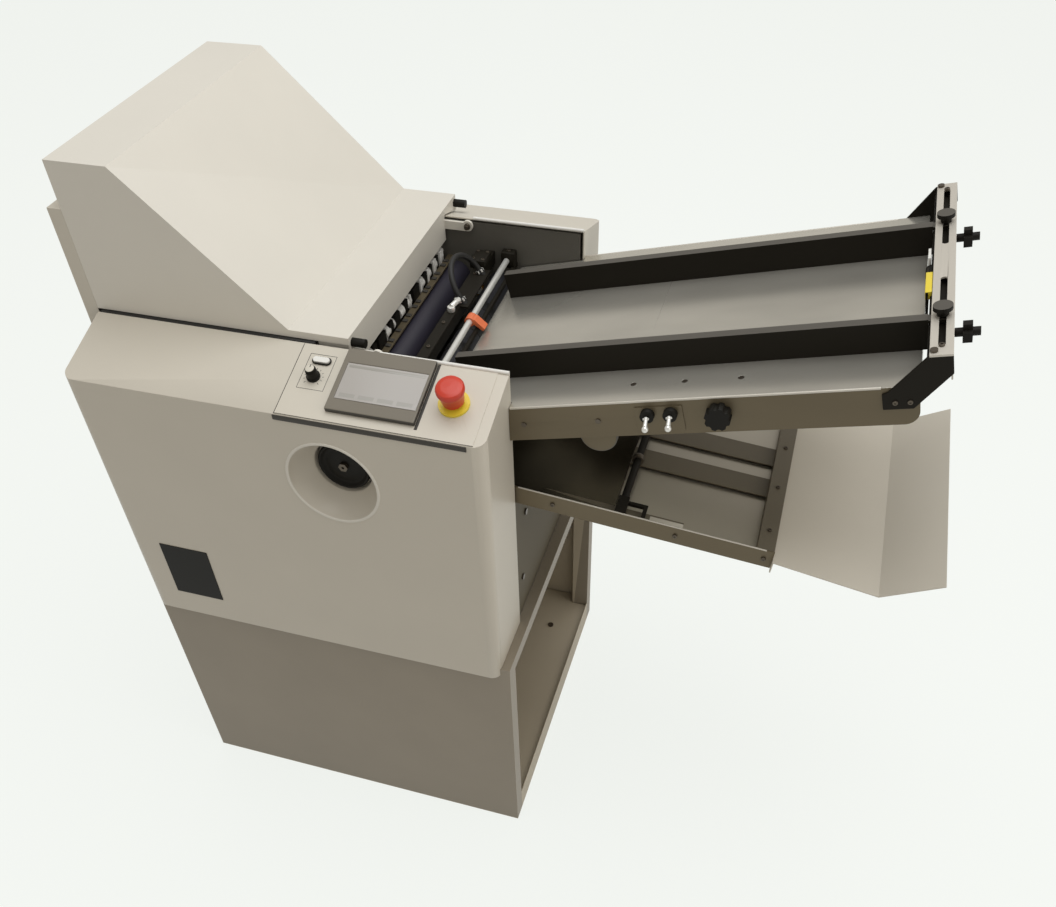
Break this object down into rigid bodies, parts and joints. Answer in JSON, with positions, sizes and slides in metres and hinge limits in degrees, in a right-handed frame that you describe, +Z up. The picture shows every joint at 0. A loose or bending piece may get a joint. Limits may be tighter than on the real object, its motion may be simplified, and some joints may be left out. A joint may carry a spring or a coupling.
{
  "type": "paper_folding_machine",
  "caption": "Floor-standing suction-feed paper folding machine with a tilting hood, feed table, side guides, two fold plates, fold rollers and a steel cabinet.",
  "frame": {"origin": "middle of the cabinet's footprint on the floor", "axes": "+Z up, +X towards the feed table, -Y towards the operator's panel"},
  "size_m": [1.3095, 0.653, 1.216],
  "materials": {
    "cover_paint": "satin",
    "hood_paint": "satin",
    "cabinet_paint": "satin",
    "frame_paint": "satin",
    "bronze": "satin",
    "black_plastic": "matte",
    "legend_film": "matte",
    "grey_plastic": "matte",
    "screen": "gloss",
    "white_plastic": "matte",
    "yellow_plastic": "gloss",
    "red_plastic": "gloss",
    "bright_steel": "satin",
    "navy_rubber": "satin",
    "roller_rubber": "satin",
    "motor_paint": "satin",
    "black_rubber": "matte",
    "plate_steel": "satin",
    "black_metal": "satin",
    "rail_steel": "satin",
    "light_steel": "satin",
    "orange_plastic": "gloss",
    "table_steel": "satin"
  },
  "bodies": {
    "base": {"cabinet_shell": "cabinet_paint", "cabinet_base": "cabinet_paint", "machine_deck": "frame_paint", "end_panel": "frame_paint", "front_frame": "frame_paint", "rear_frame": "frame_paint", "bearings": "bronze", "front_cover": "cover_paint", "rear_cover": "cover_paint", "left_end_cover": "cover_paint", "handwheel_cup": "cover_paint", "panel_plate": "legend_film", "screen_bezel": "grey_plastic", "screen_glass": "screen", "estop_collar": "yellow_plastic", "name_plate": "black_plastic", "motor": "motor_paint", "drive_belt": "black_rubber", "upper_plate": "plate_steel", "lower_plate_frame": "rail_steel", "lower_plate_sheet": "plate_steel", "end_tray": "light_steel", "guide_collars": "white_plastic", "separator_rod": "bright_steel", "feed_beam": "black_metal", "feed_hose": "black_rubber", "feed_table": "table_steel", "table_brackets": "black_metal", "bridge": "light_steel", "end_stop": "black_metal", "toggle_plate": "rail_steel", "fasteners": "bright_steel", "power_inlet": "black_plastic"},
    "hood_body": {"hood": "hood_paint", "hood_bumpers": "black_plastic"},
    "main_roller": {"roller_middle": "roller_rubber", "handwheel": "black_plastic", "handwheel_bolt": "bright_steel"},
    "upper_roller": {"roller_upper": "navy_rubber"},
    "lower_roller": {"roller_lower": "roller_rubber"},
    "bottom_roller": {"roller_bottom": "roller_rubber"},
    "delivery_roller": {"exit_roller": "roller_rubber"},
    "paper_feed_roller": {"feed_roller": "roller_rubber"},
    "idler": {"idler_gear": "bright_steel"},
    "motor_shaft": {"motor_pulley": "bright_steel"},
    "upper_gauge": {"upper_stop": "black_metal"},
    "lower_gauge": {"lower_plate_stop": "black_metal"},
    "clip": {"separator_clip": "orange_plastic"},
    "near_guide": {"guide_near": "black_metal"},
    "far_guide": {"guide_far": "black_metal"},
    "near_thumb": {"thumb_knob_near": "black_plastic"},
    "far_thumb": {"thumb_knob_far": "black_plastic"},
    "near_star": {"star_knob_near": "black_plastic"},
    "far_star": {"star_knob_far": "black_plastic"},
    "left_switch": {"toggle_left": "bright_steel"},
    "right_switch": {"toggle_right": "bright_steel"},
    "lateral_knob": {"table_knob": "black_plastic"},
    "stop_button": {"estop_button": "red_plastic"},
    "speed_dial": {"speed_knob": "black_plastic"},
    "key": {"start_key": "white_plastic"}
  },
  "joints": [
    {"name": "hood_tilt", "type": "hinge", "parent": "base", "child": "hood_body", "pos_m": [0.119, 0.021, 0.9775], "axis": [0, 1, 0], "range_deg": [0, 70]},
    {"name": "handwheel_turn", "type": "hinge", "parent": "base", "child": "main_roller", "pos_m": [0.0815, 0.021, 0.8385], "axis": [0, 1, 0], "continuous": true},
    {"name": "upper_roller_turn", "type": "hinge", "parent": "base", "child": "upper_roller", "pos_m": [0.09249, 0.021, 0.88728], "axis": [0, 1, 0], "continuous": true},
    {"name": "lower_roller_turn", "type": "hinge", "parent": "base", "child": "lower_roller", "pos_m": [0.0485, 0.021, 0.80094], "axis": [0, 1, 0], "continuous": true},
    {"name": "bottom_roller_turn", "type": "hinge", "parent": "base", "child": "bottom_roller", "pos_m": [0.04327, 0.021, 0.75121], "axis": [0, 1, 0], "continuous": true},
    {"name": "delivery_roller_turn", "type": "hinge", "parent": "base", "child": "delivery_roller", "pos_m": [0.0031, 0.021, 0.75938], "axis": [0, 1, 0], "continuous": true},
    {"name": "feed_roller_turn", "type": "hinge", "parent": "base", "child": "paper_feed_roller", "pos_m": [0.17398, 0.021, 0.8791], "axis": [0, 1, 0], "continuous": true},
    {"name": "idler_turn", "type": "hinge", "parent": "base", "child": "idler", "pos_m": [0.12911, 0.021, 0.8594], "axis": [0, 1, 0], "continuous": true},
    {"name": "motor_turn", "type": "hinge", "parent": "base", "child": "motor_shaft", "pos_m": [-0.0835, 0.021, 0.6], "axis": [0, 1, 0], "continuous": true},
    {"name": "upper_stop_slide", "type": "slide", "parent": "base", "child": "upper_gauge", "axis": [-0.766, 0, 0.6428], "range_m": [-0.2, 0.1]},
    {"name": "lower_stop_slide", "type": "slide", "parent": "base", "child": "lower_gauge", "axis": [0.9951, 0, -0.0986], "range_m": [-0.005, 0.165]},
    {"name": "clip_slide", "type": "slide", "parent": "base", "child": "clip", "axis": [0, 1, 0], "range_m": [-0.06, 0.06]},
    {"name": "near_guide_slide", "type": "slide", "parent": "base", "child": "near_guide", "axis": [0, 1, 0], "range_m": [-0.057, 0.05]},
    {"name": "far_guide_slide", "type": "slide", "parent": "base", "child": "far_guide", "axis": [0, 1, 0], "range_m": [-0.057, 0.085]},
    {"name": "near_thumb_turn", "type": "hinge", "parent": "near_guide", "child": "near_thumb", "pos_m": [0.84408, -0.112, 1.11523], "axis": [-0.2426, 0, 0.9701], "continuous": true},
    {"name": "near_star_turn", "type": "hinge", "parent": "near_guide", "child": "near_star", "pos_m": [0.863, -0.112, 1.09316], "axis": [0.9701, 0, 0.2426], "continuous": true},
    {"name": "far_thumb_turn", "type": "hinge", "parent": "far_guide", "child": "far_thumb", "pos_m": [0.84408, 0.126, 1.11523], "axis": [-0.2426, 0, 0.9701], "continuous": true},
    {"name": "far_star_turn", "type": "hinge", "parent": "far_guide", "child": "far_star", "pos_m": [0.863, 0.126, 1.09316], "axis": [0.9701, 0, 0.2426], "continuous": true},
    {"name": "left_toggle_tilt", "type": "hinge", "parent": "base", "child": "left_switch", "pos_m": [0.514, -0.2085, 0.96775], "axis": [-0.9701, 0, -0.2426], "range_deg": [0, 56]},
    {"name": "right_toggle_tilt", "type": "hinge", "parent": "base", "child": "right_switch", "pos_m": [0.54407, -0.2085, 0.97527], "axis": [-0.9701, 0, -0.2426], "range_deg": [0, 56]},
    {"name": "lateral_knob_turn", "type": "hinge", "parent": "base", "child": "lateral_knob", "pos_m": [0.60589, -0.196, 0.98609], "axis": [0, 1, 0], "range_deg": [-150, 150]},
    {"name": "stop_press", "type": "slide", "parent": "base", "child": "stop_button", "axis": [0, 0.3007, -0.9537], "range_m": [0, 0.0035]},
    {"name": "speed_turn", "type": "hinge", "parent": "base", "child": "speed_dial", "pos_m": [0.047, -0.23674, 0.97155], "axis": [0, -0.3007, 0.9537], "range_deg": [-270, 0]},
    {"name": "key_press", "type": "slide", "parent": "base", "child": "key", "axis": [0, 0.3007, -0.9537], "range_m": [0, 0.001], "stiffness_N_per_m": 400}
  ],
  "couplings": [
    {"joint": "upper_roller_turn", "follows": "handwheel_turn", "ratio": -1},
    {"joint": "lower_roller_turn", "follows": "handwheel_turn", "ratio": -1},
    {"joint": "bottom_roller_turn", "follows": "handwheel_turn", "ratio": 1},
    {"joint": "delivery_roller_turn", "follows": "handwheel_turn", "ratio": -1.5625},
    {"joint": "idler_turn", "follows": "handwheel_turn", "ratio": -0.92593},
    {"joint": "feed_roller_turn", "follows": "handwheel_turn", "ratio": 1.1364},
    {"joint": "motor_turn", "follows": "handwheel_turn", "ratio": 2}
  ]
}
